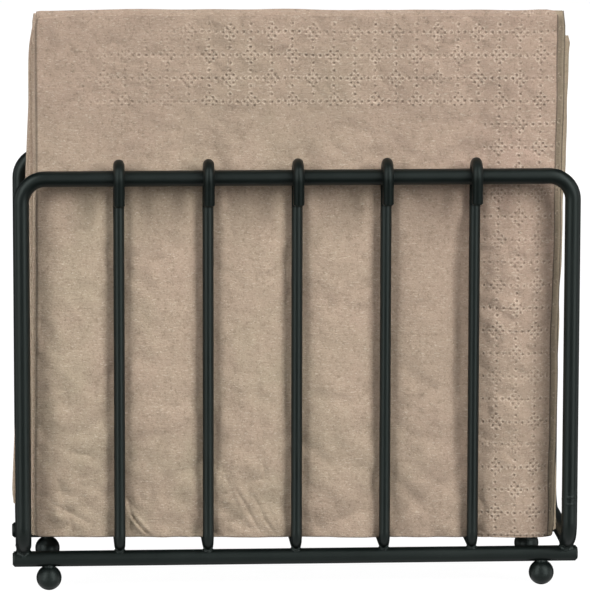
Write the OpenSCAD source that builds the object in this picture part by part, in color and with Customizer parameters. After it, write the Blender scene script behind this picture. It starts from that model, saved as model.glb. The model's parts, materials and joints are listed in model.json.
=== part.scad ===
// Wire napkin dispenser: a closed loop of heavy round wire forms the front and
// rear frames, five thin ribs make the bay for upright folded napkins, and two
// base bars on four ball feet carry everything.
// Millimetres. +Z up, +X to the right, the front is -Y. The origin is on the
// table, under the middle of the dispenser.

/* [Frame] */
// Distance between the upright wires, centre to centre
frame_w = 173; // [165:0.5:190]
// Distance between the front and rear frames, centre to centre
frame_depth = 58; // [52:0.5:70]
// Height of the rail's centre line above the table
rail_z = 132.5; // [100:0.5:160]
// Diameter of the heavy frame wire
frame_wire_d = 5; // [4:0.1:6]
// Centre-line radius of the frame's upper corners
corner_r = 7.5; // [5:0.5:14]
// Centre-line radius of the bend from an upright into a side run
foot_bend_r = 7; // [6:0.5:9]
// Height of the frame wire's butt weld on the front right upright
butt_weld_z = 29.4; // [26:0.2:60]

/* [Base bars] */
// Length of a base bar
bar_len = 180; // [174:1:200]
// Diameter of a base bar
bar_d = 5; // [4.6:0.1:5.6]
// Distance between the two base bars, centre to centre
bar_spacing = 44; // [38:0.5:44]
// Chamfer on the cut ends of a base bar
bar_chamfer = 0.7; // [0.2:0.1:1]

/* [Ribs] */
// Number of rib wires across the dispenser
rib_count = 5; // [5:1:5]
// Distance between neighbouring ribs
rib_pitch = 28; // [24:0.5:30]
// Diameter of the thin rib wire
rib_wire_d = 3.5; // [3:0.1:4]
// Centre-line radius of the bend at the bottom of a rib
rib_bend_r = 4; // [4:0.5:6]
// How far a hook's cut tip reaches below the rail's centre line
hook_drop = 8.3; // [6:0.1:14]
// Play between a hook and the rail that it wraps
hook_play = 0.05; // [0.02:0.01:0.1]
// Chamfer on the cut tip of a hook
tip_chamfer = 0.35; // [0.1:0.05:0.8]

/* [Feet] */
// Diameter of a ball foot
ball_d = 8; // [7:0.1:9]
// Distance between the left and right feet, centre to centre
ball_spacing = 157; // [140:1:168]
// How far a ball stands short of its full height at the ground flat
ball_flat = 0.1; // [0.05:0.01:0.2]

/* [Welds] */
// How far a ball sinks into its base bar when welded
ball_set = 0.4; // [0.2:0.1:0.6]
// How far the frame wire sinks into a base bar when welded
frame_set = 0.4; // [0.2:0.1:0.6]
// How far a rib sinks into a base bar when welded
rib_set = 0.3; // [0.2:0.05:0.5]
// Radius of the lip around a rib weld
rib_weld_r = 1.95; // [1.85:0.05:2.2]
// Radius of the lip around a frame weld
frame_weld_r = 2.75; // [2.6:0.05:3]
// Radius of the collar that joins a ball to its bar
collar_r = 2.6; // [2.2:0.1:2.9]

/* [Napkins] */
// Width of a folded napkin
napkin_w = 165; // [150:1:166]
// Height of a folded napkin
napkin_h = 167.5; // [150:0.5:170]
// Thickness of a folded napkin
napkin_t = 2; // [1.4:0.1:2]
// Distance between neighbouring napkins' middles
napkin_pitch = 2.1; // [2.1:0.05:2.6]
// Corner radius of a folded napkin
napkin_corner = 3; // [1:0.5:6]
// Gap between the front napkin and the front ribs
napkin_gap = 0.25; // [0.1:0.05:0.5]
// Gap between the napkins' lower edges and the ribs that carry them
napkin_lift = 0.1; // [0.05:0.05:0.3]
// Largest sideways step of a napkin from the middle
napkin_shuffle = 0.9; // [0:0.1:1]

/* [Hidden] */

coat = [0.13, 0.15, 0.14];
paper = [0.70, 0.62, 0.53];

// Facets: wire sections and small welds, sweeps of bends, larger round parts,
// and the napkins' corners and ends
wire_fn = 48;
bend_fn = 96;
round_fn = 64;
napkin_fn = 32;

frame_r = frame_wire_d / 2;
rib_r = rib_wire_d / 2;
bar_r = bar_d / 2;
ball_r = ball_d / 2;

// Heights of the centre lines, from the table up
ball_z = ball_r - ball_flat;
bar_z = ball_z + ball_r - ball_set + bar_r;
bar_top_z = bar_z + bar_r;
run_z = bar_top_z - frame_set + frame_r;
rib_z = bar_top_z - rib_set + rib_r;

upright_x = frame_w / 2;
front_y = -frame_depth / 2;
bar_y = bar_spacing / 2;

// A hook is half a turn around its rail; the leg hangs inside the frame
hook_r = frame_r + rib_r + hook_play;
leg_y = front_y + hook_r;

// Butt weld: a ring with two ridges and a groove between them
butt_half_h = 1.1;
butt_ridge_z = 0.55;
butt_ridge_h = 0.14;
butt_groove_h = 0.04;

// Weld lips: half heights, and radius of the end faces as a share of the lip's
rib_lip_half_h = 0.55;
frame_lip_half_h = 0.9;
lip_end_ratio = 0.8;

// Foot collar: it starts below the bar, widens to its rim and narrows again
collar_h = 1.3;
collar_below_bar = 0.6;
collar_rim_z = 0.5;
collar_bottom_step = 0.1;
collar_top_step = 0.35;

// How far the block that trims a foot reaches past the ball
trim_margin = 1;

napkin_front_y = leg_y + rib_r + napkin_gap;
napkin_z = rib_z + rib_r + napkin_lift;
// Turn between the phases of neighbouring napkins' sideways steps, in degrees
shuffle_angle = 137.5;
// The front napkin stands a little higher, on the inside of the ribs' bends
bend_inner_r = rib_bend_r - rib_r;
front_rise = bend_inner_r
    - sqrt(pow(bend_inner_r, 2) - pow(bend_inner_r - napkin_gap, 2));

// Place of rib number i across the dispenser, counted from the left
function rib_x(i) = (i - (rib_count + 1) / 2) * rib_pitch;

// ---- Shared shapes and placement ----

// The four corners of the frame, as mirrored copies of the front right one.
module mirrored_corners() {
    for (mx = [0, 1], my = [0, 1])
        mirror([mx, 0, 0]) mirror([0, my, 0]) children();
}

// Unmirrored copies over both base bars, at x to the left and right.
module on_bars(x, z) {
    for (sx = [-1, 1], sy = [-1, 1])
        translate([sx * x, sy * bar_y, z]) children();
}

// A straight piece of round wire along +Z from the origin.
module straight(len, wire_d) {
    cylinder(h = len, d = wire_d, $fn = wire_fn);
}

// An arc of round wire in XZ around the origin, from +X up over +Z.
module bend(radius, wire_d, angle) {
    rotate([90, 0, 0])
        rotate_extrude(angle = angle, $fn = bend_fn)
            translate([radius, 0]) circle(d = wire_d, $fn = wire_fn);
}

// A quarter turn of wire in YZ around the origin, from -Y down to -Z: it takes
// a front wire that comes down and turns it to the rear.
module bottom_bend(radius, wire_d) {
    rotate([0, 0, -90]) rotate([0, 90, 0])
        bend(radius, wire_d, 90);
}

// A weld lip: two short cones base to base, widest where two wires meet.
module weld_lip(radius, half_h) {
    end_r = radius * lip_end_ratio;
    rotate_extrude($fn = wire_fn)
        polygon([[0, -half_h], [end_r, -half_h], [radius, 0],
                 [end_r, half_h], [0, half_h]]);
}

// A rectangle in the first quadrant with rounded corners.
module rounded_rectangle(width, height, radius) {
    union() {
        translate([radius, 0]) square([width - 2 * radius, height]);
        translate([0, radius]) square([width, height - 2 * radius]);
        for (x = [radius, width - radius], y = [radius, height - radius])
            translate([x, y]) circle(r = radius, $fn = napkin_fn);
    }
}

// ---- Frame ----

// One closed loop: front rail, down both front uprights, back along the side
// runs, up the rear uprights and across the rear rail.
module perimeter_wire() {
    rail_end_x = upright_x - corner_r;
    corner_z = rail_z - corner_r;
    upright_z = run_z + foot_bend_r;
    run_y = front_y + foot_bend_r;
    color(coat) {
        // front and rear rails
        for (s = [-1, 1])
            translate([-rail_end_x, s * front_y, rail_z])
                rotate([0, 90, 0])
                    straight(2 * rail_end_x, frame_wire_d);
        // side runs on top of the base bars
        for (s = [-1, 1])
            translate([s * upright_x, run_y, run_z])
                rotate([-90, 0, 0])
                    straight(-2 * run_y, frame_wire_d);
        mirrored_corners() {
            // upper corner, in the plane of the frame
            translate([rail_end_x, front_y, corner_z])
                bend(corner_r, frame_wire_d, 90);
            // upright
            translate([upright_x, front_y, upright_z])
                straight(corner_z - upright_z, frame_wire_d);
            // bend from the upright back into the side run
            translate([upright_x, run_y, upright_z])
                bottom_bend(foot_bend_r, frame_wire_d);
        }
    }
}

// The raised ring where the two ends of the loop were welded together.
module loop_butt_weld() {
    ridge_r = frame_r + butt_ridge_h;
    color(coat)
        translate([upright_x, front_y, butt_weld_z])
            rotate_extrude($fn = round_fn)
                polygon([[0, -butt_half_h], [frame_r, -butt_half_h],
                         [ridge_r, -butt_ridge_z],
                         [frame_r + butt_groove_h, 0],
                         [ridge_r, butt_ridge_z],
                         [frame_r, butt_half_h], [0, butt_half_h]]);
}

// The lips between the side runs and the base bars.
module frame_welds() {
    color(coat)
        on_bars(upright_x, bar_top_z - frame_set / 2)
            weld_lip(frame_weld_r, frame_lip_half_h);
}

// ---- Base bars ----

// A straight bar with chamfered ends, along X. side: -1 front, 1 rear.
module base_bar(side) {
    end_r = bar_r - bar_chamfer;
    color(coat)
        translate([-bar_len / 2, side * bar_y, bar_z])
            rotate([0, 90, 0])
                rotate_extrude($fn = round_fn)
                    polygon([[0, 0], [end_r, 0],
                             [bar_r, bar_chamfer],
                             [bar_r, bar_len - bar_chamfer],
                             [end_r, bar_len], [0, bar_len]]);
}

// ---- Ribs ----

// The front half of a rib, less its bottom run: from its cut tip outside the
// rail, over the rail, down inside it and round the bottom bend.
module rib_half() {
    bend_z = rib_z + rib_bend_r;
    // cut tip
    translate([0, front_y - hook_r, rail_z - hook_drop]) {
        cylinder(h = tip_chamfer, r1 = rib_r - tip_chamfer, r2 = rib_r, $fn = wire_fn);
        translate([0, 0, tip_chamfer])
            straight(hook_drop - tip_chamfer, rib_wire_d);
    }
    // hook over the rail
    translate([0, front_y, rail_z])
        rotate([0, 0, 90])
            bend(hook_r, rib_wire_d, 180);
    // leg
    translate([0, leg_y, bend_z])
        straight(rail_z - bend_z, rib_wire_d);
    // bottom bend
    translate([0, leg_y + rib_bend_r, bend_z])
        bottom_bend(rib_bend_r, rib_wire_d);
}

// Rib number i, counted from the left.
module rib_wire(i) {
    run_y = leg_y + rib_bend_r;
    color(coat)
        translate([rib_x(i), 0, 0]) {
            rib_half();
            mirror([0, 1, 0]) rib_half();
            // bottom run
            translate([0, run_y, rib_z])
                rotate([-90, 0, 0])
                    straight(-2 * run_y, rib_wire_d);
        }
}

// The lips under all the ribs, two to a rib.
module rib_welds() {
    color(coat)
        for (i = [1 : rib_count], s = [-1, 1])
            translate([rib_x(i), s * bar_y, bar_top_z - rib_set / 2])
                weld_lip(rib_weld_r, rib_lip_half_h);
}

// ---- Feet ----

// A ball with a small ground flat. side_x: -1 left, 1 right; side_y: -1 front, 1 rear.
module foot(side_x, side_y) {
    trim_r = ball_r + trim_margin;
    color(coat)
        translate([side_x * ball_spacing / 2, side_y * bar_y, 0])
            intersection() {
                translate([0, 0, ball_z]) sphere(r = ball_r, $fn = round_fn);
                translate([-trim_r, -trim_r, 0])
                    cube(2 * [trim_r, trim_r, trim_r]);
            }
}

// The weld collars between the balls and the base bars.
module foot_collars() {
    color(coat)
        on_bars(ball_spacing / 2, bar_z - bar_r - collar_below_bar)
            rotate_extrude($fn = wire_fn)
                polygon([[0, 0], [collar_r - collar_bottom_step, 0],
                         [collar_r, collar_rim_z],
                         [collar_r - collar_top_step, collar_h], [0, collar_h]]);
}

// ---- Napkins ----

// Napkin number k, counted from the front: a folded napkin standing on edge.
// Its ends are rounded like a fold, and each stands a little off the middle.
module napkin(k) {
    flat_w = napkin_w - napkin_t;
    color(paper)
        translate([napkin_shuffle * sin(k * shuffle_angle),
                   napkin_front_y + (k - 1) * napkin_pitch + napkin_t / 2,
                   napkin_z + (k == 1 ? front_rise : 0)])
            intersection() {
                // outline seen from the front
                translate([-napkin_w / 2, napkin_t / 2, 0])
                    rotate([90, 0, 0])
                        linear_extrude(napkin_t)
                            rounded_rectangle(napkin_w, napkin_h, napkin_corner);
                // outline seen from above, with round ends
                union() {
                    translate([-flat_w / 2, -napkin_t / 2, 0])
                        cube([flat_w, napkin_t, napkin_h]);
                    for (s = [-1, 1])
                        translate([s * flat_w / 2, 0, 0])
                            cylinder(h = napkin_h, d = napkin_t, $fn = napkin_fn);
                }
            }
}

perimeter_wire();
loop_butt_weld();
base_bar(-1);  // base_bar_front
base_bar(1);  // base_bar_rear
rib_wire(1);  // rib_wire_1
rib_wire(2);  // rib_wire_2
rib_wire(3);  // rib_wire_3
rib_wire(4);  // rib_wire_4
rib_wire(5);  // rib_wire_5
rib_welds();
frame_welds();
foot(-1, -1);  // foot_front_left
foot(1, -1);  // foot_front_right
foot(-1, 1);  // foot_rear_left
foot(1, 1);  // foot_rear_right
foot_collars();
napkin(1);  // napkin_01
napkin(2);  // napkin_02
napkin(3);  // napkin_03
napkin(4);  // napkin_04
napkin(5);  // napkin_05
napkin(6);  // napkin_06
napkin(7);  // napkin_07
napkin(8);  // napkin_08
napkin(9);  // napkin_09
napkin(10);  // napkin_10
napkin(11);  // napkin_11
napkin(12);  // napkin_12
napkin(13);  // napkin_13
napkin(14);  // napkin_14
napkin(15);  // napkin_15
napkin(16);  // napkin_16
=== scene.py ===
# A black wire napkin holder filled with a stack of quarter-folded kraft napkins.
# It stands on the floor: X runs across it, its front faces -Y and +Z is up.
# The wires and foot balls come from the CAD. Weld metal and napkins are modelled here, in mm.
import json
import math
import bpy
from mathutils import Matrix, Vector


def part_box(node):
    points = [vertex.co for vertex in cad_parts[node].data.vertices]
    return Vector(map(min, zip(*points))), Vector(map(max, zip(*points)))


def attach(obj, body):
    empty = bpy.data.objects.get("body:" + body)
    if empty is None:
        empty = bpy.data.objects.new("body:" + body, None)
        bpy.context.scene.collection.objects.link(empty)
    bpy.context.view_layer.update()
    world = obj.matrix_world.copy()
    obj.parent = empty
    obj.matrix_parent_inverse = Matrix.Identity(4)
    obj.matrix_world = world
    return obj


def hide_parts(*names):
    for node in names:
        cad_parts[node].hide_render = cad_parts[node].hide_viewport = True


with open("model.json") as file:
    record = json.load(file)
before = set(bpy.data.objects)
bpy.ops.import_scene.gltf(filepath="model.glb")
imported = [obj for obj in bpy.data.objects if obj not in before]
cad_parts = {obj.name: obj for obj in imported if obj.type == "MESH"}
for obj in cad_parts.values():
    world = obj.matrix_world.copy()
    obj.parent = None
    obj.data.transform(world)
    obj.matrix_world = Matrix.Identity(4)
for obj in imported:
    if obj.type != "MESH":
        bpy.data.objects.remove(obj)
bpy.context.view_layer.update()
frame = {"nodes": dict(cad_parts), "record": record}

from types import SimpleNamespace

import bpy
import numpy as np
from mathutils import Matrix, Vector

MM = 0.001
NODES = frame["nodes"]
RIBS = sorted(name for name in NODES if name.startswith("rib_wire_"))
NAPKINS = sorted(name for name in NODES if name.startswith("napkin_"))


# ---------------------------------------------------------------- helpers
def span(node):
    """Lowest and highest corner of a CAD node in millimetres."""
    low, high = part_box(node)
    return np.array(low) / MM, np.array(high) / MM


def ease(value, start, end):
    """Smooth step from 0 at start to 1 at end; start may be the larger."""
    t = np.clip((value - start) / (end - start), 0.0, 1.0)
    return t * t * (3 - 2 * t)


def bell(offset, width):
    return np.exp(-(offset / width) ** 2)


class Waves:
    """Smooth noise made of plane waves between two wavelengths, the same on every run."""

    def __init__(self, seed, count, shortest, longest, stretch=(1.0, 1.0)):
        random = np.random.RandomState(seed)
        angle = random.uniform(0, 2 * np.pi, count)
        length = np.exp(random.uniform(math.log(shortest), math.log(longest), count))
        wave = 2 * np.pi / length
        self.wave_x = wave * np.cos(angle) * stretch[0]
        self.wave_z = wave * np.sin(angle) * stretch[1]
        self.phase = random.uniform(0, 2 * np.pi, count)
        self.weight = (shortest * wave / (2 * np.pi)) ** -0.6
        self.weight /= math.sqrt((self.weight ** 2).sum() / 2)

    def __call__(self, x, z):
        total = np.zeros(np.broadcast(x, z).shape)
        for wave_x, wave_z, phase, weight in zip(self.wave_x, self.wave_z, self.phase, self.weight):
            total += weight * np.sin(wave_x * x + wave_z * z + phase)
        return total


def make_mesh(name, verts_mm, faces, material, uv=None):
    """A smooth-shaded object; uv holds one pair per vertex."""
    mesh = bpy.data.meshes.new(name)
    verts = np.asarray(verts_mm, float) * MM
    sizes = np.array([len(face) for face in faces], np.int32)
    loops = np.array([i for face in faces for i in face], np.int32)
    mesh.vertices.add(len(verts))
    mesh.vertices.foreach_set("co", verts.ravel())
    mesh.loops.add(len(loops))
    mesh.loops.foreach_set("vertex_index", loops)
    mesh.polygons.add(len(sizes))
    starts = np.concatenate([[0], np.cumsum(sizes)[:-1]]).astype(np.int32)
    mesh.polygons.foreach_set("loop_start", starts)
    mesh.polygons.foreach_set("loop_total", sizes)
    if uv is not None:
        layer = mesh.uv_layers.new(name="sheet")
        layer.data.foreach_set("uv", np.asarray(uv, float)[loops].ravel())
    mesh.update(calc_edges=True)
    mesh.validate()
    mesh.polygons.foreach_set("use_smooth", np.full(len(mesh.polygons), True))
    ob = bpy.data.objects.new(name, mesh)
    bpy.context.scene.collection.objects.link(ob)
    mesh.materials.append(material)
    return ob


# ---------------------------------------------------------------- shader graph
class Graph:
    """A short way to write a material's nodes. Values may be numbers, tuples, sockets or nodes."""

    def __init__(self, name):
        self.material = bpy.data.materials.new(name)
        self.material.use_nodes = True
        self.tree = self.material.node_tree
        self.tree.nodes.clear()
        self.output = self.tree.nodes.new("ShaderNodeOutputMaterial")

    def put(self, socket, value):
        if isinstance(value, bpy.types.Node):
            value = value.outputs[0]
        if isinstance(value, bpy.types.NodeSocket):
            self.tree.links.new(value, socket)
        elif socket.type == "RGBA":
            socket.default_value = (*value, 1.0)
        else:
            socket.default_value = value

    def node(self, kind, inputs=None, **properties):
        """A node with its inputs given by name or number."""
        node = self.tree.nodes.new("ShaderNode" + kind)
        for key, value in properties.items():
            setattr(node, key, value)
        for key, value in (inputs or {}).items():
            self.put(node.inputs[key], value)
        return node

    def finish(self, shader):
        self.put(self.output.inputs["Surface"], shader)
        return self.material

    def math(self, operation, a, b=0.0):
        return self.node("Math", {0: a, 1: b, 2: 0.0}, operation=operation).outputs[0]

    def plus(self, a, b):
        return self.math("ADD", a, b)

    def minus(self, a, b):
        return self.math("SUBTRACT", a, b)

    def times(self, first, *others):
        for other in others:
            first = self.math("MULTIPLY", first, other)
        return first

    def most(self, a, b):
        return self.math("MAXIMUM", a, b)

    def above(self, a, b):
        return self.math("GREATER_THAN", a, b)

    def below(self, a, b):
        return self.math("LESS_THAN", a, b)

    def absolute(self, a):
        return self.math("ABSOLUTE", a)

    def distance(self, a, b):
        return self.math("SQRT", self.plus(self.times(a, a), self.times(b, b)))

    def weighted(self, *pairs):
        """Sum of (signal, weight) pairs."""
        total = None
        for signal, weight in pairs:
            term = self.times(signal, weight)
            total = term if total is None else self.plus(total, term)
        return total

    def mix(self, factor, a, b):
        """Colour a where the factor is 0, colour b where it is 1."""
        return self.node("Mix", {"Factor": factor, 6: a, 7: b},
                         data_type="RGBA", clamp_factor=True).outputs[2]

    def ramp(self, value, between, to=(0.0, 1.0)):
        """Smooth step of a value between two levels, mapped to two others."""
        inputs = {"Value": value, "From Min": between[0], "From Max": between[1],
                  "To Min": to[0], "To Max": to[1]}
        return self.node("MapRange", inputs, interpolation_type="SMOOTHSTEP").outputs[0]

    def noise(self, place, scale, detail=2.0, rough=0.5, distort=0.0):
        inputs = {"Vector": place, "Scale": scale, "Detail": detail,
                  "Roughness": rough, "Distortion": distort}
        return self.node("TexNoise", inputs).outputs["Fac"]

    def coordinates(self):
        return self.node("TexCoord").outputs["Object"]

    def shifted(self, place, offset):
        return self.node("VectorMath", {0: place, 1: offset}, operation="ADD").outputs[0]

    def scaled(self, place, scale):
        return self.node("Mapping", {"Vector": place, "Scale": scale}).outputs[0]

    def bump(self, height, strength, distance, **under):
        """A bump normal; give normal= to add it to another one."""
        inputs = {"Height": height, "Strength": strength, "Distance": distance}
        if under:
            inputs["Normal"] = under["normal"]
        return self.node("Bump", inputs).outputs[0]


# ---------------------------------------------------------------- powder coat
COAT_SPECULAR = 0.29


def powder_coat(name, seed, shade_between=None):
    """Black powder coat with a faint green cast: satin, orange peel, a little dust and wear.
    Its last argument is a height range, in metres, where the reflection is turned down as painted
    shade."""
    m = Graph(name)
    place = m.shifted(m.coordinates(), (0.31 * seed, 0.17 * seed, 0.23 * seed))
    peel = m.noise(place, scale=520.0, rough=0.55)
    fine_peel = m.noise(place, scale=1500.0)
    grain = m.noise(place, scale=5200.0, detail=1.0)
    broad = m.noise(place, scale=55.0, detail=3.0, rough=0.6)
    dust = m.ramp(m.noise(place, scale=2600.0, detail=3.0, rough=0.65), (0.66, 0.76))
    dust = m.times(dust, m.ramp(broad, (0.42, 0.62)))
    pits = m.ramp(m.noise(place, scale=900.0, detail=1.0), (0.73, 0.80))

    dark, light = (0.0017, 0.0030, 0.0027), (0.0031, 0.0047, 0.0043)
    grain_colour, dust_colour = (0.0070, 0.0095, 0.0088), (0.070, 0.075, 0.072)
    colour = m.mix(m.ramp(broad, (0.3, 0.7)), dark, light)
    colour = m.mix(m.times(grain, 0.30), colour, grain_colour)
    colour = m.mix(m.times(dust, 0.22), colour, dust_colour)

    rough = m.plus(m.ramp(broad, (0.3, 0.7), to=(0.33, 0.41)), m.times(fine_peel, 0.06))
    rough = m.plus(rough, m.times(dust, 0.15))
    relief = m.weighted((peel, 1.0), (fine_peel, 0.30), (grain, 0.06))
    relief = m.minus(relief, m.times(pits, 0.4))
    normal = m.bump(relief, strength=0.50, distance=0.00004)

    specular = COAT_SPECULAR
    if shade_between is not None:
        z = m.node("SeparateXYZ", {"Vector": m.coordinates()}).outputs[2]
        low, high = shade_between
        # painted shade: the reflection is turned down inside this height range
        hook_shade = m.times(m.ramp(z, (low - 0.0006, low)),
                       m.ramp(z, (high, high + 0.003), to=(1.0, 0.35)))
        specular = m.minus(COAT_SPECULAR, m.times(hook_shade, 0.19))
    return m.finish(m.node("BsdfPrincipled", {
        "Base Color": colour, "Roughness": rough, "Normal": normal,
        "Specular IOR Level": specular, "Specular Tint": (0.86, 1.0, 0.95)}))


# ---------------------------------------------------------------- tissue
# The embossed border is a grid of dotted lines along a sheet's loose right and top edges, in mm.
LATTICE_X, LATTICE_Z = 6.5, 7.26                # pitch of the lines
DOT_X, DOT_Z = LATTICE_X / 3, LATTICE_Z / 3     # pitch of the dots along them
ROSETTE_X, ROSETTE_Z = LATTICE_X / 6, LATTICE_Z / 6     # rosette dots, from a crossing
BORDER_RIGHT, BORDER_TOP = 23.0, 28.5           # width of the border
BORDER_START = 1.0                              # plain margin outside it
FIRST_X, FIRST_Z = 5.4, 5.36                    # first line from the edges
INNER_UV_SHIFT = 5.0                            # added to v on the inner leaves
UV_MM = 100.0                                   # millimetres per UV unit
INNER_FROM = 300.0                              # v in mm beyond this is an inner leaf

PINK, GREEN, MID = (0.510, 0.353, 0.283), (0.429, 0.3515, 0.2515), (0.4695, 0.3515, 0.266)
MOTTLE, SPECK, FIBRE = (0.290, 0.218, 0.155), (0.225, 0.165, 0.115), (0.700, 0.600, 0.480)
# painted shade: the side strips, a shadow line along the cut edges, and a shadow line along the
# front fold
STRIP_SHADE, CUT_EDGE_SHADOW, FOLD_SHADOW = (0.290, 0.262, 0.165), (0.070, 0.055, 0.036), (0.110, 0.085, 0.058)
# painted highlight on the emboss rims, painted shade in its pits, and black for darkening as
# painted shade
RIM_HIGHLIGHT, PIT_SHADE, BLACK = (0.740, 0.620, 0.500), (0.190, 0.130, 0.090), (0.0, 0.0, 0.0)


def front_shading(m, colour, u, v):
    """Painted shade on the front napkin: a dark line along its fold, and darker towards its top,
    its right part and its lower part.
    """
    from_fold = m.absolute(m.minus(u, 162.9))
    fold = m.ramp(from_fold, (0.12, 0.55), to=(0.55, 0.0))
    fold = m.times(fold, m.ramp(v, (56.0, 66.0), to=(1.0, 0.3)))
    colour = m.mix(fold, colour, FOLD_SHADOW)
    top = m.most(m.ramp(v, (26.0, 62.0), to=(0.155, 0.0)),
                 m.times(m.above(v, INNER_FROM), 0.155))
    colour = m.mix(top, colour, BLACK)
    right = m.times(m.ramp(u, (30.0, 80.0), to=(0.095, 0.0)),
                    m.ramp(v, (45.0, 62.0), to=(0.2, 1.0)))
    low = m.ramp(v, (110.0, 150.0), to=(0.0, 0.05))
    return m.mix(m.most(right, low), colour, BLACK)


def paper_base(m, seed, place, u, v):
    """Colour and normal of the paper before its border, and its finest noise."""
    fine = m.noise(place, scale=1500.0, detail=3.0, rough=0.7)
    mottle = m.noise(place, scale=520.0, detail=4.0, rough=0.68)
    blotch = m.noise(place, scale=38.0, detail=3.0, rough=0.55, distort=0.3)
    # redder towards the top right, greener towards the bottom left
    wide = m.times(m.noise(place, scale=9.0), 0.7)
    down = m.times(m.math("MODULO", v, INNER_UV_SHIFT * UV_MM), -0.0013)
    wide = m.plus(wide, m.plus(m.times(u, -0.0013), down))
    fibre = m.noise(m.scaled(place, (1.0, 1.0, 3.2)), scale=900.0,
                    detail=3.0, rough=0.6, distort=0.8)
    crepe = m.noise(m.scaled(place, (0.35, 1.0, 2.6)), scale=700.0, rough=0.55)
    patches = m.noise(place, scale=95.0, detail=3.0, rough=0.6, distort=0.4)

    colour = m.mix(m.ramp(wide, (-0.05, 0.42), to=(0.05, 0.85)), GREEN, PINK)
    colour = m.mix(m.ramp(blotch, (0.35, 0.60), to=(0.0, 0.55)), colour, MID)
    colour = m.mix(m.ramp(patches, (0.34, 0.62), to=(0.0, 0.30)), colour,
                   m.mix(blotch, GREEN, PINK))
    colour = m.mix(m.ramp(mottle, (0.30, 0.50), to=(0.50, 0.0)), colour, MOTTLE)
    colour = m.mix(m.ramp(fine, (0.32, 0.48), to=(0.55, 0.0)), colour, SPECK)
    colour = m.mix(m.ramp(fibre, (0.55, 0.70), to=(0.0, 0.62)), colour, FIBRE)
    # painted shade: leaves that show as a strip beside the front one are darker and greener, and a
    # painted shadow line runs along the cut
    if seed == 0:
        strip = m.times(m.above(v, INNER_FROM), m.ramp(u, (1.6, 3.6), to=(0.50, 0.0)))
    else:
        strip = m.ramp(u, (0.3, 3.6), to=(0.50, 0.0))
    colour = m.mix(strip, colour, STRIP_SHADE)
    edge_shadow = 0.80 if seed == 0 else 0.26
    colour = m.mix(m.ramp(u, (0.12, 0.55), to=(edge_shadow, 0.0)), colour, CUT_EDGE_SHADOW)
    if seed == 0:
        colour = front_shading(m, colour, u, v)
    relief = m.weighted((fine, 0.5), (mottle, 0.9), (crepe, 0.6), (fibre, 0.35))
    return colour, m.bump(relief, strength=0.64, distance=0.00034), fine


def border_marks(m, place, u, v, fine):
    """Strength of the border's pressed dots, also used for painted shade in them, and of the
    painted highlight on the pale rims around them.
    """
    u = m.plus(u, m.times(m.math("SINE", m.times(v, 0.55)), 0.10))
    v = m.plus(v, m.times(m.math("SINE", m.times(u, 0.47)), 0.10))

    def cell(t, pitch, first):
        """Signed distance to the nearest lattice point, and that point's number."""
        steps = m.math("DIVIDE", m.minus(t, first), pitch)
        number = m.math("ROUND", steps)
        return m.times(m.minus(steps, number), pitch), number

    def is_third(number):
        """1 where the number is a multiple of three."""
        rest = m.minus(m.math("DIVIDE", number, 3.0),
                       m.math("ROUND", m.math("DIVIDE", number, 3.0)))
        return m.below(m.absolute(rest), 0.1)

    def dot(dx, dz):
        return m.ramp(m.distance(dx, dz), (0.20, 0.52), to=(1.0, 0.0))

    def ring(dx, dz):
        radius = m.distance(dx, dz)
        return m.times(m.ramp(radius, (0.40, 0.66)),
                       m.ramp(radius, (0.72, 1.05), to=(1.0, 0.0)))

    dx, dot_column = cell(u, DOT_X, FIRST_X)
    dz, dot_row = cell(v, DOT_Z, FIRST_Z)
    on_line = m.most(is_third(dot_column), is_third(dot_row))
    dots = m.times(dot(dx, dz), on_line)
    # rosettes: four more dots around every other crossing
    cross_x, column = cell(u, LATTICE_X, FIRST_X)
    cross_z, row = cell(v, LATTICE_Z, FIRST_Z)
    odd = m.above(m.math("PINGPONG", m.plus(column, row), 1.0), 0.5)
    cross_x, cross_z = m.absolute(cross_x), m.absolute(cross_z)

    def from_rosette():
        return m.minus(cross_x, ROSETTE_X), m.minus(cross_z, ROSETTE_Z)

    dots = m.most(dots, m.times(dot(*from_rosette()), odd))
    # painted highlight: a pale rim around each dot, set a little off centre as if lit from one side
    rims = m.times(ring(m.minus(dx, 0.12), m.plus(dz, 0.16)), on_line)
    rims = m.most(rims, m.times(ring(*from_rosette()), odd))

    in_right = m.times(m.below(u, BORDER_RIGHT), m.above(u, BORDER_START))
    in_top = m.times(m.below(v, BORDER_TOP), m.above(v, BORDER_START))
    border = m.times(m.most(in_right, in_top), m.above(u, BORDER_START),
                     m.above(v, BORDER_START))
    worn = m.ramp(m.noise(place, scale=60.0), (0.36, 0.56), to=(0.58, 1.0))
    # the border fades towards the fold
    fade = m.most(m.ramp(u, (105.0, 140.0), to=(1.0, 0.0)),
                  m.times(m.ramp(u, (138.0, 158.0), to=(0.8, 0.0)), m.ramp(v, (9.0, 12.0))))
    dots = m.times(dots, border, worn, fade)
    rims = m.times(rims, m.minus(1.0, dots), border,
                   m.times(worn, m.ramp(fine, (0.40, 0.62))), fade)
    return dots, rims


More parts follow.
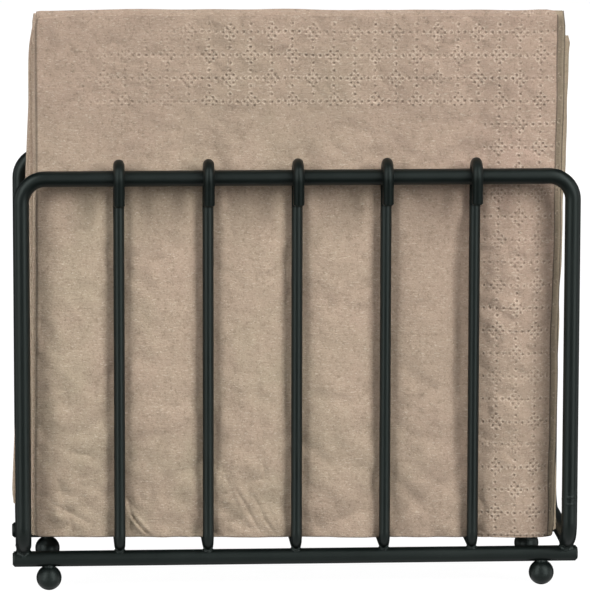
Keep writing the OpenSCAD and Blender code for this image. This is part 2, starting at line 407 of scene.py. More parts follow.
def tissue(name, seed):
    """Two-ply kraft tissue: fibre mottling, crepe and the embossed border.
    Its UVs are the distances from the sheet's loose right and top edges. Seed 0 is the front."""
    m = Graph(name)
    uv = m.node("UVMap", uv_map="sheet").outputs[0]
    place = m.shifted(m.coordinates(), (0.37 * seed, 0.011 * seed, 0.29 * seed))
    parts = m.node("SeparateXYZ", {"Vector": uv})
    u = m.times(parts.outputs[0], UV_MM)
    v = m.times(parts.outputs[1], UV_MM)
    colour, normal, fine = paper_base(m, seed, place, u, v)
    dots, rims = border_marks(m, place, u, v, fine)
    # painted highlight on the rims, and painted shade in the pits
    colour = m.mix(m.times(rims, 0.46), colour, RIM_HIGHLIGHT)
    colour = m.mix(m.times(dots, 0.42), colour, PIT_SHADE)
    normal = m.bump(m.minus(1.0, dots), strength=0.9, distance=0.00020, normal=normal)
    surface = m.node("BsdfPrincipled", {
        "Base Color": colour, "Roughness": 0.93, "Normal": normal,
        "Specular IOR Level": 0.18, "Sheen Weight": 0.12, "Sheen Roughness": 0.6})
    through = m.node("BsdfTranslucent", {"Color": colour, "Normal": normal})
    return m.finish(m.node("MixShader", {0: 0.10, 1: surface, 2: through}))


COAT = powder_coat("black_powder_coat", seed=1)
COAT_WELD = powder_coat("black_powder_coat_on_welds", seed=4)
FRONT_TISSUE = tissue("kraft_tissue_front", seed=0)
TISSUES = [tissue("kraft_tissue_%d" % i, seed=i) for i in range(1, 4)]

# ---------------------------------------------------------------- CAD wires and balls
# painted shade: the bent-over ends of the ribs get less reflection, to darken them
HOOK_TOP = span("rib_wire_3")[1][2]
HOOKS = ((HOOK_TOP - 15.5) * MM, (HOOK_TOP - 7.5) * MM)
COAT_RIBS = powder_coat("black_powder_coat_on_ribs", seed=1, shade_between=HOOKS)
for name, ob in NODES.items():
    if name.startswith("napkin_"):
        continue
    coat = COAT_RIBS if name in RIBS else COAT
    slots = ob.data.materials
    for i in range(len(slots)):
        slots[i] = coat
    if not slots:
        slots.append(coat)

# places of the wires' centre lines, in mm
bar_low, bar_high = span("base_bar_front")
rear_low, rear_high = span("base_bar_rear")
WIRE_R = (bar_high[2] - bar_low[2]) / 2         # base bars and perimeter wire
BAR_Z = (bar_high[2] + bar_low[2]) / 2
BARS_Y = [(bar_low[1] + bar_high[1]) / 2, (rear_low[1] + rear_high[1]) / 2]     # front, rear

wire_low, wire_high = span("perimeter_wire")
UPRIGHT_X = wire_high[0] - WIRE_R
RUN_Z = wire_low[2] + WIRE_R                    # its lower runs
FRONT_Y = wire_low[1] + WIRE_R
RAIL_Z = wire_high[2] - WIRE_R

RIBS_X = []
for name in RIBS:
    rib_low, rib_high = span(name)
    RIBS_X.append((rib_low[0] + rib_high[0]) / 2)
RIB_LOW = rib_low[2]
RIB_R = (rib_high[0] - rib_low[0]) / 2
RIB_Z = RIB_LOW + RIB_R


# ---------------------------------------------------------------- weld metal
def ring_skin(rings):
    """Vertices and faces of a closed skin over a stack of rings, capped at both ends."""
    count = len(rings[0])
    last = (len(rings) - 1) * count
    verts = np.concatenate(rings)
    first_cap, last_cap = len(verts), len(verts) + 1
    verts = np.vstack([verts, rings[0].mean(0), rings[-1].mean(0)])
    faces = []
    for a in range(0, last, count):
        b = a + count
        for i in range(count):
            j = (i + 1) % count
            faces.append((a + i, a + j, b + j, b + i))
    for i in range(count):
        j = (i + 1) % count
        faces.append((first_cap, j, i))
        faces.append((last_cap, last + i, last + j))
    return verts, faces


def weld_object(name, parts, replaced):
    """One object from several skins, in place of a CAD node."""
    verts, faces, offset = [], [], 0
    for part_verts, part_faces in parts:
        verts.append(part_verts)
        faces += [tuple(i + offset for i in face) for face in part_faces]
        offset += len(part_verts)
    ob = make_mesh(name, np.vstack(verts), faces, COAT_WELD)
    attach(ob, "holder")
    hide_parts(replaced)


def along_x(centre_z, radius, side):
    """Height of the top (side 1) or underside (side -1) of a wire that runs along X."""
    return lambda dx, dy: centre_z + side * np.sqrt(np.maximum(radius ** 2 - dy ** 2, 0.04))


def along_y(centre_z, radius, side):
    return lambda dx, dy: centre_z + side * np.sqrt(np.maximum(radius ** 2 - dx ** 2, 0.04))


def ball_top(centre_z, radius):
    return lambda dx, dy: centre_z + np.sqrt(np.maximum(radius ** 2 - dx ** 2 - dy ** 2, 0.1))


BAR_TOP = along_x(BAR_Z, WIRE_R, 1)
BAR_UNDER = along_x(BAR_Z, WIRE_R, -1)


def fillet(x, y, lower, upper, lower_radius, upper_radius, waist_radius, waist_z, seed,
           around=48, rows=9, rough=0.05):
    """The concave ring of weld metal between two round surfaces that meet at one point.
    lower and upper give the pieces' heights; the outer radii are functions of the angle."""
    angle = np.linspace(0, 2 * np.pi, around, endpoint=False)
    cos, sin = np.cos(angle), np.sin(angle)
    wobble = Waves(seed, 5, 1.4, 4.0)
    uneven = 1 + rough * wobble(4 * cos, 4 * sin)
    low_r, high_r = lower_radius(angle) * uneven, upper_radius(angle) * uneven
    waist_r = waist_radius * (1 + 0.5 * rough * wobble(3 * sin, 3 * cos))

    # both rims dip just under the metal, and end rings close the skin deeper inside
    sunk, rim_depth, end_depth, end_scale = 0.05, 0.25, 0.7, np.array([0.3, 0.3, 1])
    low = np.stack([low_r * cos, low_r * sin, lower(low_r * cos, low_r * sin) - sunk], 1)
    high = np.stack([high_r * cos, high_r * sin, upper(high_r * cos, high_r * sin) + sunk], 1)
    waist = np.stack([waist_r * cos, waist_r * sin, np.full(around, waist_z)], 1)
    rings = [low * end_scale - np.array([0, 0, end_depth]), low - np.array([0, 0, rim_depth])]
    for t in np.linspace(0, 1, rows):
        rings.append((1 - t) ** 2 * low + 2 * t * (1 - t) * waist + t * t * high)
    rings += [high + np.array([0, 0, rim_depth]),
              high * end_scale + np.array([0, 0, end_depth])]
    verts, faces = ring_skin(rings)
    return verts + np.array([x, y, 0]), faces


def rib_welds():
    parts = []
    for x in RIBS_X:
        for y in BARS_Y:
            parts.append(fillet(
                x, y, lower=BAR_TOP, upper=along_y(RIB_Z, RIB_R, -1),
                lower_radius=lambda angle: 2.05 + 0.25 * np.abs(np.cos(angle)),
                upper_radius=lambda angle: 1.62 + 0.55 * np.sin(angle) ** 2,
                waist_radius=1.18, waist_z=(BAR_Z + WIRE_R + RIB_LOW) / 2 + 0.05,
                seed=20 + len(parts)))
    weld_object("rib_weld_metal", parts, "rib_welds")


def frame_welds():
    parts = []
    for x in (-UPRIGHT_X, UPRIGHT_X):
        for y in BARS_Y:
            parts.append(fillet(
                x, y, lower=BAR_TOP, upper=along_y(RUN_Z, WIRE_R, -1),
                lower_radius=lambda angle: 2.35 + 0.45 * np.abs(np.cos(angle)),
                upper_radius=lambda angle: 2.30 + 0.60 * np.sin(angle) ** 2,
                waist_radius=1.75, waist_z=(BAR_Z + WIRE_R + RUN_Z - WIRE_R) / 2 + 0.02,
                seed=50 + len(parts), around=64, rows=11, rough=0.07))
    weld_object("frame_weld_metal", parts, "frame_welds")


def foot_welds():
    parts = []
    for foot in ("front_left", "front_right", "rear_left", "rear_right"):
        low, high = span("foot_" + foot)
        radius = (high[0] - low[0]) / 2
        parts.append(fillet(
            (low[0] + high[0]) / 2, (low[1] + high[1]) / 2,
            lower=ball_top(high[2] - radius, radius), upper=BAR_UNDER,
            lower_radius=lambda angle: 2.35,
            upper_radius=lambda angle: 1.75 + 0.55 * np.cos(angle) ** 2,
            waist_radius=1.42, waist_z=(high[2] + BAR_Z - WIRE_R) / 2,
            seed=70 + len(parts), around=56, rows=10, rough=0.06))
    weld_object("foot_weld_metal", parts, "foot_collars")


def butt_weld():
    """The dressed butt weld on an upright: a low double bead with a nick between."""
    low, high = span("loop_butt_weld")
    centre_x, centre_y, centre_z = (low + high) / 2
    around, rows, half_length = 96, 45, 2.2
    bead_facing = math.radians(272)
    nick_below = 0.55                           # the nick's distance below the middle
    angle = np.linspace(0, 2 * np.pi, around, endpoint=False)
    turn = (angle - bead_facing + np.pi) % (2 * np.pi) - np.pi
    wobble = Waves(91, 7, 0.7, 3.0)
    rings = []
    for z in np.linspace(-half_length, half_length, rows):
        from_nick = z + nick_below
        lump = bell(abs(from_nick) - 1.12, 0.34) * bell(turn, 0.42)
        nick = bell(from_nick, 0.46) * bell(turn, 0.26)
        skin = 0.022 * wobble(2.6 * angle, np.full(around, 2 * z)) * bell(z, 1.5)
        radius = WIRE_R + 0.008 + 0.20 * lump - 0.20 * nick + skin
        # the end rings hide inside the wire
        radius = np.where(abs(z) > 2.15, WIRE_R - 0.2, radius)
        rings.append(np.stack([centre_x + radius * np.cos(angle),
                               centre_y + radius * np.sin(angle),
                               np.full(around, centre_z + z)], 1))
    weld_object("butt_weld_bead", [ring_skin(rings)], "loop_butt_weld")


rib_welds()
frame_welds()
foot_welds()
butt_weld()

# ---------------------------------------------------------------- napkins
# All in mm. On a sheet, u runs across from the left fold (negative on the rear leaves) and
# v runs up from the bottom fold (negative on the inner leaves). Once it is folded, "front"
# goes from 1 on the front leaves to -1 on the rear, "outer" from 1 on the outer to -1 inside.
RIB_LINES = np.array(sorted(RIBS_X))
LAST_RIB = RIB_LINES[-1]
LEAF_T = 0.26        # thickness of one two-ply leaf
LEAF_GAP = 0.50      # distance between leaves
SPLIT = 3            # a finely cut grid cell is split this many times each way
HIDDEN_STEP = 2.6    # grid step of the unseen leaves when the front ones are fine

# Corner radii are top right, top left, bottom right, bottom left. "droop" is the width and
# depth of a hanging top right corner. "raise_left" lifts the lower left corner.
PLAIN = dict(shift=0.0, lean=0.0, lean_power=1.2, bow=0.0, corners=(1.3, 1.6, 0.7, 0.5),
             droop=(5.0, 0.0), raise_left=0.0)
SHAPES = [
    dict(),
    dict(shift=-0.75, lean=2.1, lean_power=1.0, corners=(1.6, 1.1, 0.5, 0.5)),
    dict(shift=-1.75, lean=3.85, lean_power=1.25, bow=0.25, corners=(2.0, 1.0, 0.5, 0.5),
         droop=(5.0, 6.5)),
    dict(shift=0.75, lean=-1.2, corners=(1.8, 3.0, 0.5, 0.5)),
    dict(lean=0.8),
    dict(shift=-0.9, lean=1.6, lean_power=1.4),
    dict(lean=-0.6, bow=-0.35, corners=(1.4, 3.4, 0.5, 0.5)),
    dict(lean=0.5),
    dict(lean=0.9),
    dict(shift=-6.9, lean=7.7, lean_power=1.0, raise_left=6.5, corners=(1.5, 2.8, 0.5, 1.2)),
    dict(lean=0.3),
    dict(lean=0.6, corners=(1.3, 3.0, 0.5, 0.5)),
    dict(lean=0.7),
    dict(lean=-0.3),
    dict(lean=0.9, corners=(1.3, 3.0, 0.5, 0.5)),
    dict(lean=-0.6),
]

# areas of the front sheet with a fine grid: u from, u to, v from, v to
FINE_PATCHES = [(26, 41, 1, 14), (2, 18, 1, 27), (56, 78, 1, 24)]

# upright grooves just under the rail: x, length, width
GROOVES = [
    (-74, 9, 0.9), (-66, 7, 0.7), (-63, 10, 0.6), (-49.5, 8, 0.8), (-46.5, 11, 0.6),
    (-39, 9, 0.7), (-34.5, 12, 0.8), (-22, 8, 0.7), (-17, 10, 0.6), (-9.5, 8, 0.8),
    (-6, 11, 0.6), (5.5, 9, 0.7), (10, 7, 0.6), (17.5, 10, 0.8), (22, 12, 0.7),
    (33.5, 9, 0.6), (38, 8, 0.8), (46, 10, 0.7), (50.5, 12, 0.6), (61.5, 9, 0.7),
    (66, 8, 0.7), (73, 11, 0.8)]

# sharp creases: x and z of the start, x and z of the end, width, depth
CREASES = [
    (-80, 30, -64, 21, 1.1, 0.34), (-76, 38, -70, 16, 1.4, 0.30),
    (-84, 27, -70, 25, 1.0, 0.22), (-52.6, 24.4, -46.6, 17.4, 0.42, 0.85),
    (-53.6, 29.5, -52.2, 23.8, 0.7, 0.25), (-53, 33, -50.6, 24.5, 1.2, 0.18),
    (-20, 34, -11, 17.5, 0.6, 0.30), (-15, 32, -9, 22, 0.55, 0.20),
    (-12.5, 26, -7, 18, 0.5, 0.26), (-24, 40, -18, 26, 1.2, 0.24),
    (-22, 22, -12, 19, 1.0, 0.20), (4, 34, 15, 26, 1.3, 0.14),
    (34, 33, 44, 22, 1.2, 0.12), (-40, 60, -30, 47, 1.6, 0.14),
    (-70, 72, -60, 60, 1.6, 0.12), (-74, 110, -66, 92, 1.8, 0.16),
    (-79, 150, -72, 128, 1.8, 0.16), (60, 44, 72, 30, 1.5, 0.10),
    (-60, 174, -30, 168, 2.2, 0.10), (10, 160, 34, 152, 2.0, 0.10),
    (-66, 160, -46, 150, 2.0, 0.10)]


def measure(index, node):
    """Everything that sets one napkin's size and shape."""
    low, high = span(node)
    first_low, first_high = span(NAPKINS[0])
    middle_y = (low[1] + high[1]) / 2
    depth = middle_y - (first_low[1] + first_high[1]) / 2
    # the tops step down towards the back, as a stack that leans on its front ribs does
    top = first_high[2] - 0.3 - 0.108 * depth - (0.35 if index % 3 == 1 else 0.1)
    drop = max(0.05, high[2] - top)
    width, height = high[0] - low[0] - 0.35, high[2] - low[2]
    random = np.random.RandomState(500 + index)
    rear_trim, inner_trim = random.uniform(-0.5, 0.9), random.uniform(0.2, 1.6)
    skew = random.uniform(-0.8, 1.0)
    n = SimpleNamespace(**{**PLAIN, **SHAPES[index % len(SHAPES)]})
    n.index, n.is_front = index, index == 0
    n.width, n.height, n.bottom, n.middle_y = width, height, low[2], middle_y
    if n.is_front:
        n.left, n.inner_skew = -81.5, 1.8
        n.front_width, n.rear_width = 163.8, 163.4
        n.outer_height, n.inner_height = height - 1.75, height - 0.1
    else:
        n.left, n.inner_skew = low[0] + 0.15 + n.shift, skew
        n.front_width, n.rear_width = width, width - rear_trim
        n.outer_height, n.inner_height = height - drop - 0.2, height - drop - inner_trim
    return n


def grid_lines(total, first, pitch, fold):
    """Grid lines from the fold (0) to the loose edge, with the border's lattice kept."""
    at_fold = [0.0]
    while at_fold[-1] < fold - 1e-6:
        at_fold.append(at_fold[-1] + 0.25)
    lattice = []
    place = total - first
    while place > at_fold[-1] + 0.6 * pitch:
        lattice.append(place)
        place -= pitch
    margin = []
    place = total - first + pitch
    while place < total - 0.4 * pitch:
        margin.append(place)
        place += pitch
    return np.array(at_fold + lattice[::-1] + margin + [total])


def both_sides(front_total, back_total, first, front_step, back_step, fold):
    front = grid_lines(front_total, first, front_step, fold)
    back = -grid_lines(back_total, first, back_step, fold)[1:][::-1]
    return np.concatenate([back, front])


def split_lines(lines):
    inner = lines[:-1, None] + np.diff(lines)[:, None] * np.arange(SPLIT)[None, :] / SPLIT
    return np.append(inner.ravel(), lines[-1])


def fine_cells(n, across, up):
    """Which cells are split: the embossed border and the patches with sharp creases."""
    u, v = (across[1:] + across[:-1]) / 2, (up[1:] + up[:-1]) / 2
    in_right = (u > n.front_width - BORDER_RIGHT - 0.4) & (u < n.front_width)
    in_top = v > n.outer_height - BORDER_TOP - 0.4
    fine = in_right[:, None] & (v > 1.0)[None, :]
    fine |= (u > n.front_width * 0.05)[:, None] & in_top[None, :]
    for u_from, u_to, v_from, v_to in FINE_PATCHES:
        fine |= ((u > u_from) & (u < u_to))[:, None] & ((v > v_from) & (v < v_to))[None, :]
    return fine


def sheet_grid(n, fine):
    """The flat sheet: u and v of its vertices, and its faces."""
    if fine:
        steps = (ROSETTE_X, HIDDEN_STEP), (ROSETTE_Z, HIDDEN_STEP)
    else:
        steps = (DOT_X, DOT_X), (DOT_Z, DOT_Z)
    across = both_sides(n.front_width, n.rear_width, FIRST_X, *steps[0], fold=2.0)
    up = both_sides(n.outer_height, n.inner_height, FIRST_Z, *steps[1], fold=1.0)
    columns, rows = len(across) - 1, len(up) - 1
    split = fine_cells(n, across, up) if fine else np.zeros((columns, rows), bool)
    used = np.zeros((columns * SPLIT + 1, rows * SPLIT + 1), bool)
    used[::SPLIT, ::SPLIT] = True
    for i, j in zip(*np.nonzero(split)):
        a, b = i * SPLIT, j * SPLIT
        used[a:a + SPLIT + 1, b:b + SPLIT + 1] = True
    ids = np.full(used.shape, -1, np.int64)
    ids[used] = np.arange(used.sum())

    # a whole cell also takes in the edge points of split neighbours
    outline = ([(i, 0) for i in range(SPLIT)] + [(SPLIT, j) for j in range(SPLIT)]
               + [(i, SPLIT) for i in range(SPLIT, 0, -1)]
               + [(0, j) for j in range(SPLIT, 0, -1)])
    faces = []
    for i in range(columns):
        for j in range(rows):
            a, b = i * SPLIT, j * SPLIT
            if split[i, j]:
                for p in range(a, a + SPLIT):
                    for q in range(b, b + SPLIT):
                        faces.append((ids[p, q], ids[p + 1, q],
                                      ids[p + 1, q + 1], ids[p, q + 1]))
            else:
                corners = [ids[a + p, b + q] for p, q in outline]
                faces.append(tuple(c for c in corners if c >= 0))
    at_u, at_v = np.nonzero(used)
    return split_lines(across)[at_u], split_lines(up)[at_v], faces


def fold_sheet(u, v):
    """Fold the sheet at the bottom, then at the left."""
    quarter_turn = np.pi / 2
    bottom_r = LEAF_GAP / 2
    bottom_turn = np.clip(v / bottom_r, -quarter_turn, quarter_turn)
    outer = np.sin(bottom_turn)
    left_r = LEAF_GAP * (1.0 + 0.5 * outer)
    left_turn = np.clip(u / left_r, -quarter_turn, quarter_turn)
    front = np.sin(left_turn)
    x = (0.5 * LEAF_GAP * (1 - outer) + left_r * (1 - np.cos(left_turn))
         + np.maximum(np.abs(u) - quarter_turn * left_r, 0))
    z = (bottom_r * (1 - np.cos(bottom_turn))
         + np.maximum(np.abs(v) - quarter_turn * bottom_r, 0))
    return x, -left_r * front, z, front, outer


def part_leaves(n, x, y, z, front, outer):
    """Loose leaves part towards the top and the right, and each has its own ripple."""
    width, height = n.width, n.height
    loose = 0.5 * ease(z, height * 0.55, height) + 0.5 * ease(x, width * 0.6, width)
    leaf = np.where(front > 0, np.where(outer > 0, 0, 1), np.where(outer > 0, 3, 2))
    ripple = np.choose(leaf, [Waves(900 + 10 * n.index + i, 7, 22, 110)(x, z)
                              for i in range(4)])
    free = np.abs(front) * np.abs(outer) * ease(x, 0, 12) * ease(z, 0, 12)
    y = y * (1 + 0.10 * loose) + 0.035 * ripple * free
    at_edge = ease(x, width - 13, width)
    if n.is_front:
        behind = 1 - np.clip(front, 0, 1) * np.clip(outer, 0, 1)
        return y + (0.75 + 0.25 * ease(z, 0.5 * height, 0.9 * height)) * at_edge * behind
    return y + max(0.0, 0.75 - 0.08 * n.index) * at_edge


def shape_outline(n, v, x, z, outer):
    """Skew the inner leaves, soften the corners and make the cut edges wavy."""
    width, height = n.width, n.height
    inner = (1 - outer) / 2
    x = x + n.inner_skew * inner * (np.abs(v) / n.inner_height) ** 0.8 * ease(x, 0, width * 0.5)
    top_right, top_left, bottom_right, bottom_left = n.corners
    if n.is_front:
        top_left = np.where(outer > 0, 1.4, 0.5)
        top_right = np.where(outer > 0, 0.6, 1.5)
    for corner_x, corner_z, radius in ((0, height, top_left), (width, height, top_right),
                                       (width, 0, bottom_right), (0, 0, bottom_left)):
        pull = radius * bell(np.hypot(x - corner_x, z - corner_z), 2.6 * radius)
        x = x + 0.5 * pull * (1 - 2 * corner_x / width)
        z = z + 0.5 * pull * (1 - 2 * corner_z / height)
    edge = Waves(300 + n.index, 6, 14, 60)
    z = z + 0.16 * edge(x, 3.0) * ease(z, height * 0.8, height)
    x = x + 0.16 * edge(z, 40.0) * ease(x, width * 0.8, width)
    droop_width, droop_depth = n.droop
    z = z - (droop_depth * ease(x, width - droop_width, width) ** 2
             * ease(z, height - 14, height))
    return x, z


def place_sheet(n, x, z, outer):
    """Move the sheet to its place in the holder and let it lean and slump."""
    width = n.width
    frame_x, frame_z = n.left + x, n.bottom + z
    up, across = np.clip(z / n.height, 0, 1), np.clip(x / width, 0, 1)
    frame_x = frame_x + n.lean * up ** n.lean_power + n.bow * np.sin(np.pi * up)
    if n.is_front:
        # the right edge draws in below, the left edge spreads, and the left side rides higher
        frame_x = frame_x - (1.35 * ease(x, width - 26, width) * (1 - ease(frame_z, 62, 128))
                             * np.where(outer > 0, 1.0, 0.25))
        frame_x = frame_x - (0.45 + 0.95 * (1 - ease(frame_z, 15, 110))) * (1 - ease(x, 8, 60))
        frame_z = frame_z + (1 - up) * (0.80 - 1.95 * across) + up * (0.55 - 0.55 * across)
    else:
        frame_z = (frame_z + (1.30 - 1.15 * across) * (1 - ease(frame_z, n.bottom, 60))
                   + (0.5 - 0.5 * across) * ease(frame_z, 60, 150))
        frame_z = frame_z + (n.raise_left * np.clip(1 - x / width, 0, 1)
                             * (1 - ease(z, 0, 0.9 * n.height)))
    return frame_x, frame_z


def press_on_ribs(n, x, y, z):
    """Bulge forward between the ribs, and dent the stack on both sides of the last one."""
    bulge = (2.15 if n.is_front else 1.9) * 0.45 ** n.index
    from_rib = np.min(np.abs(x[:, None] - RIB_LINES[None, :]), axis=1)
    pocket = 1 - bell(np.maximum(from_rib - 0.5, 0), 6.3)
    edge_back = ease(np.abs(x), 74.0, 83.5)
    if n.is_front:
        # it stands a little off the next one along its fold, and rolls back at its loose edge
        edge_back = np.where(x < 0, 0.62 * edge_back, 1.15 * ease(x, 68.5, 82.5))
    pocket = np.where(np.abs(x) > LAST_RIB, pocket * (1 - 0.95 * edge_back), pocket)
    relax = 1 - 0.55 * ease(z, RAIL_Z - 14, RAIL_Z + 16)
    squeeze = 1 - 0.25 * (1 - ease(z, n.bottom, 40))
    y = n.middle_y + y - bulge * pocket * relax * squeeze
    if n.is_front:
        # the folded edge hangs lower where it is pushed back, so it looks straight from ahead
        z = z - (0.15 + 0.32 * (1 - pocket * relax)) * (1 - ease(z, n.bottom, 30))
        # the ribs' lower bends push the folded edge back a little
        y = y + (1.25 * bell(from_rib, 2.6) * (1 - ease(z, n.bottom - 1.2, n.bottom + 4.0))
                 * ease(x, -60, 60))
    dent = 1.9 * bell(x - LAST_RIB + 5.4, 2.9) + 0.50 * bell(x - LAST_RIB - 5.2, 2.6)
    y = y + dent * ease(z, 24, 50) * (1 - ease(z, 100, 132)) * 0.55 ** n.index
    y = y + 0.055 * Waves(700 + n.index, 6, 60, 200, (1.0, 0.12))(x, z)
    return y, z


def creases(x, z):
    """Pressed-in folds, negative along each line, with a soft raised shoulder."""
    total = np.zeros_like(x)
    for x0, z0, x1, z1, width, depth in CREASES:
        run_x, run_z = x1 - x0, z1 - z0
        length = math.hypot(run_x, run_z)
        along = ((x - x0) * run_x + (z - z0) * run_z) / length ** 2
        aside = np.abs((x - x0) * run_z - (z - z0) * run_x) / length
        fade = np.exp(-((along - 0.5) / 0.42) ** 4)
        depth = 1.2 * depth
        total += (-depth * np.exp(-(aside / width)) * fade
                  + 0.55 * depth * bell(aside - 2.0 * width, 1.4 * width) * fade)
    return total


def front_relief(x, y, z, front, outer, crumple):
    """Crumples, grooves, creases and dimples of the front napkin."""
    depth = 0.30 + 0.26 * ease(z, 80, 20)
    y = y - depth * (np.abs(crumple) ** 0.8) * np.abs(front) * np.where(front > 0, 1, 0.2)
    patchy = 0.6 + 0.4 * np.clip(Waves(62, 6, 20, 60)(x, z), -1, 1)
    small = Waves(61, 40, 3.4, 10)(x, z) * patchy
    y = y - 0.115 * small * np.where(front > 0, front, 0) * np.where(outer > 0, 1, 0.5)
    grooves = np.zeros_like(x)
    for groove_x, length, width in GROOVES:
        grooves += (bell(x - groove_x, width) * ease(z, RAIL_Z - 3 - length, RAIL_Z - 3)
                    * (1 - ease(z, RAIL_Z - 2, RAIL_Z + 4)))
    y = y + 0.36 * grooves * (front > 0)
    y = y - creases(x, z) * np.where(front > 0, 1.0, 0.25) * np.where(outer > 0, 1, 0.6)
    # dimples beside each rib, just above the rail
    dimples = np.zeros_like(x)
    for rib_x in RIB_LINES:
        dimples += bell(np.abs(x - rib_x) - 3.2, 2.4) * bell(z - (RAIL_Z + 5.5), 4.0)
    return y + 0.75 * dimples


def border_relief(u, v):
    """Depth of the embossed border at u and v from the loose right and top edges:
    1 in a pit, a little below 0 on its rim."""
    u = u + 0.10 * np.sin(0.55 * v)
    v = v + 0.10 * np.sin(0.47 * u)
    steps_x, steps_z = (u - FIRST_X) / DOT_X, (v - FIRST_Z) / DOT_Z
    column, row = np.round(steps_x), np.round(steps_z)
    on_line = (np.mod(column, 3) == 0) | (np.mod(row, 3) == 0)
    to_dot = np.hypot((steps_x - column) * DOT_X, (steps_z - row) * DOT_Z)
    far = 9.0                                   # stands for "no dot here"
    to_dot = np.where(on_line, to_dot, far)
    column, row = np.round((u - FIRST_X) / LATTICE_X), np.round((v - FIRST_Z) / LATTICE_Z)
    cross_x = np.abs(u - FIRST_X - column * LATTICE_X)
    cross_z = np.abs(v - FIRST_Z - row * LATTICE_Z)
    to_rosette = np.hypot(cross_x - ROSETTE_X, cross_z - ROSETTE_Z)
    to_rosette = np.where(np.mod(column + row, 2) == 1, to_rosette, far)
    distance = np.minimum(to_dot, to_rosette)
    pit = bell(distance, 0.36) - 0.42 * bell(distance - 0.76, 0.24)
    border = ((u < BORDER_RIGHT) | (v < BORDER_TOP)) & (u > BORDER_START) & (v > BORDER_START)
    # the cells between the dotted lines puff out a little
    puff = np.abs(np.sin(np.pi * (u - FIRST_X) / LATTICE_X)
                  * np.sin(np.pi * (v - FIRST_Z) / LATTICE_Z)) ** 0.7
    near = (ease(u, BORDER_RIGHT + 2.5, BORDER_RIGHT - 2.5)
            + ease(v, BORDER_TOP + 3, BORDER_TOP - 3))
    return pit * border - 0.42 * puff * np.clip(near, 0, 1)


def border_wear(n, x, z):
    """How much of the front napkin's embossing is left; it fades towards the fold."""
    worn = 0.65 + 0.35 * np.clip(Waves(77, 6, 12, 50)(x, z), -1, 1)
    top = n.height + n.bottom
    return worn * np.maximum(ease(x, -60, -24),
                             0.8 * ease(x, -74, -56) * (1 - ease(z, top - 13, top - 9)))


def node_body(node):
    """The body that the record puts a node in."""
    behaviour = frame["record"].get("behaviour") or {}
    for body, nodes in behaviour.get("bodies", {"root": list(NODES)}).items():
        if node in nodes:
            return body
    return "root"


def give_thickness(ob):
    """Solidify the leaves about their middle and bake the result into the mesh."""
    ply = ob.modifiers.new("ply", "SOLIDIFY")
    ply.thickness = LEAF_T * MM
    ply.offset = 0.0
    ply.use_rim = True
    graph = bpy.context.evaluated_depsgraph_get()
    baked = bpy.data.meshes.new_from_object(ob.evaluated_get(graph),
                                            preserve_all_data_layers=True, depsgraph=graph)
    thin = ob.data
    ob.modifiers.clear()
    ob.data = baked
    bpy.data.meshes.remove(thin)
    baked.name = ob.name


def napkin(index, node):
    """A quarter-folded napkin in place of its CAD block."""
    n = measure(index, node)
    fine = n.is_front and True
    u, v, faces = sheet_grid(n, fine)
    x, y, z, front, outer = fold_sheet(u, v)
    y = part_leaves(n, x, y, z, front, outer)
    x, z = shape_outline(n, v, x, z, outer)
    x, z = place_sheet(n, x, z, outer)
    y, z = press_on_ribs(n, x, y, z)
    crumple = Waves(40 + index, 26, 7, 60)(x, z)
    if n.is_front:
        y = front_relief(x, y, z, front, outer, crumple)
    else:
        y = y - 0.05 * np.abs(crumple) * np.abs(front)
    from_right = np.where(u > 0, n.front_width - np.abs(u), n.rear_width - np.abs(u))
    from_top = np.where(v > 0, n.outer_height - np.abs(v), n.inner_height - np.abs(v))
    if fine:
        front_leaf = np.where((front > 0.99) & (outer > 0.99), 1, 0)
        y = y + 0.34 * border_relief(from_right, from_top) * border_wear(n, x, z) * front_leaf
    uv = np.stack([from_right / UV_MM, from_top / UV_MM + INNER_UV_SHIFT * (outer < -0.5)], 1)
    material = FRONT_TISSUE if n.is_front else TISSUES[index % len(TISSUES)]
    ob = make_mesh("folded_" + node, np.stack([x, y, z], 1), faces, material, uv)
    give_thickness(ob)
    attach(ob, node_body(node))
    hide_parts(node)


for index, node in enumerate(NAPKINS):
    napkin(index, node)


# ---------------------------------------------------------------- floor
def floor_paper():
    """White seamless paper. The camera sees it lifted to white; its bounce light is dimmer."""
    m = Graph("floor_sweep")
    noise = m.noise(m.coordinates(), scale=3.0, detail=3.0)
    seen = m.node("LightPath").outputs["Is Camera Ray"]
    bounce = m.node("BsdfDiffuse", {
        "Color": m.mix(noise, (0.16, 0.16, 0.157), (0.185, 0.185, 0.18))})
    face = m.node("BsdfDiffuse", {
        "Color": m.mix(noise, (0.105, 0.105, 0.105), (0.12, 0.12, 0.12))})
    lift = m.node("Emission", {"Color": (1.0, 1.0, 1.0), "Strength": 0.965})
    lifted = m.node("AddShader", {0: face, 1: lift})
    return m.finish(m.node("MixShader", {0: seen, 1: bounce, 2: lifted}))


def floor_sweep():
    """A pale seamless floor that turns up far behind."""
    bend_y, bend_r, half_width, top = 5000, 1500, 6000, 6000
    across = np.linspace(-half_width, half_width, 13)
    profile = [(y, 0.0) for y in (-6000, -2000, 0, 2500, bend_y)]
    for angle in np.linspace(0, math.pi / 2, 13)[1:]:
        profile.append((bend_y + bend_r * math.sin(angle), bend_r * (1 - math.cos(angle))))
    profile.append((bend_y + bend_r, top))
    verts = [(x, y, z) for y, z in profile for x in across]
    count = len(across)
    faces = []
    for j in range(len(profile) - 1):
        for i in range(count - 1):
            a = j * count + i
            faces.append((a, a + 1, a + count + 1, a + count))
    ob = make_mesh("floor_sweep", verts, faces, floor_paper())
    ob.visible_glossy = False        # the satin wires mirror the softboxes, not the floor


floor_sweep()


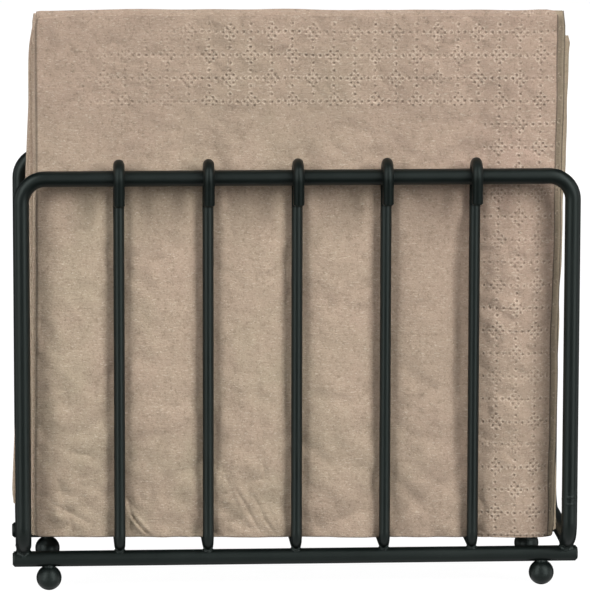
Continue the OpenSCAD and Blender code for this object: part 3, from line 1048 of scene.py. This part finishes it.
# ---------------------------------------------------------------- lights
def area_light(name, location, rotation, width, height, radiance, use):
    """A rectangular light in metres. A "mirror" light is only seen in the satin wires,
    a "key" light only falls on the matt surfaces."""
    light = bpy.data.lights.new(name, "AREA")
    light.shape = "RECTANGLE"
    light.size, light.size_y = width, height
    light.energy = radiance * math.pi * width * height
    ob = bpy.data.objects.new(name, light)
    bpy.context.scene.collection.objects.link(ob)
    ob.location = location
    ob.rotation_mode = "QUATERNION"
    ob.rotation_quaternion = rotation
    ob.visible_camera = False
    ob.visible_diffuse = use != "mirror"
    ob.visible_transmission = use != "mirror"
    ob.visible_glossy = use != "key"


def softbox(name, azimuth, elevation, distance, aim_z=0.09, **light):
    """A light aimed at the holder. Azimuth 0 is in front of it (from -Y), positive to +X."""
    turn, rise = math.radians(azimuth), math.radians(elevation)
    way = Vector((math.sin(turn) * math.cos(rise), -math.cos(turn) * math.cos(rise),
                  math.sin(rise)))
    area_light(name, Vector((0.0, 0.0, aim_z)) + way * distance,
               (-way).to_track_quat("-Z", "Y"), **light)


softbox("strip_left", azimuth=-46, elevation=22, distance=1.25,
        width=0.80, height=1.95, radiance=3.1, use="mirror")
softbox("strip_right", azimuth=40, elevation=22, distance=1.25,
        width=0.80, height=1.95, radiance=3.6, use="mirror")
softbox("key_left", azimuth=-52, elevation=31, distance=1.25, aim_z=0.075,
        width=0.50, height=0.90, radiance=8.6, use="key")
softbox("key_right", azimuth=51, elevation=31, distance=1.25, aim_z=0.075,
        width=0.50, height=0.90, radiance=13.0, use="key")
softbox("soft_front", azimuth=-3, elevation=10, distance=1.75,
        width=0.9, height=0.95, radiance=0.95, use="both")
for name, azimuth in (("soft_side_left", -95), ("soft_side_right", 95)):
    softbox(name, azimuth=azimuth, elevation=4, distance=1.5,
            width=1.0, height=1.3, radiance=1.1, use="both")
softbox("soft_top", azimuth=180, elevation=80, distance=1.6,
        width=1.2, height=1.2, radiance=0.12, use="both")
softbox("soft_back", azimuth=172, elevation=28, distance=1.6,
        width=1.2, height=1.2, radiance=3.6, use="key")
# lies on the floor under the front bar, facing up
area_light("floor_glow", location=(0.0, -0.046, 0.0008), rotation=(0.0, 1.0, 0.0, 0.0),
           width=0.34, height=0.050, radiance=0.70, use="mirror")


# ---------------------------------------------------------------- world and camera
def studio_world():
    """The backdrop above the floor looks white, and lights the object only a little."""
    world = bpy.data.worlds.new("studio")
    world.use_nodes = True
    tree = world.node_tree
    background = tree.nodes["Background"]
    background.inputs["Color"].default_value = (1.0, 1.0, 1.0, 1.0)
    level = tree.nodes.new("ShaderNodeMapRange")
    level.inputs["To Min"].default_value = 0.05
    level.inputs["To Max"].default_value = 1.0
    seen = tree.nodes.new("ShaderNodeLightPath").outputs["Is Camera Ray"]
    tree.links.new(seen, level.inputs["Value"])
    tree.links.new(level.outputs[0], background.inputs["Strength"])
    bpy.context.scene.world = world


def long_camera():
    """A long lens from the front, a little to the left and above."""
    data = bpy.data.cameras.new("camera")
    data.sensor_width = 36.0
    data.lens = 292.2624
    data.clip_start, data.clip_end = 0.05, 50.0
    camera = bpy.data.objects.new("camera", data)
    bpy.context.scene.collection.objects.link(camera)
    forward = Vector((0.05233, 0.98500, -0.16445)).normalized()
    right = Vector((0.99860, -0.05296, 0.00059)).normalized()
    up = right.cross(forward).normalized()
    spot = Vector((-0.08087, -1.53461, 0.34509))
    # a step to the left, turned to keep the same point at the front rail's depth in the middle
    target = spot + forward * ((FRONT_Y * MM - spot.y) / forward.y)
    spot = spot + Vector((-0.0128, 0.0, 0.0))
    turn = forward.rotation_difference(target - spot)
    forward = (target - spot).normalized()
    right = forward.cross(turn @ up).normalized()
    up = right.cross(forward).normalized()
    camera.matrix_world = Matrix(((right.x, up.x, -forward.x, spot.x),
                                  (right.y, up.y, -forward.y, spot.y),
                                  (right.z, up.z, -forward.z, spot.z),
                                  (0, 0, 0, 1)))
    bpy.context.scene.camera = camera


studio_world()
view = bpy.context.scene.view_settings
view.view_transform = "Standard"
view.look = "None"
view.exposure = 0.0
long_camera()
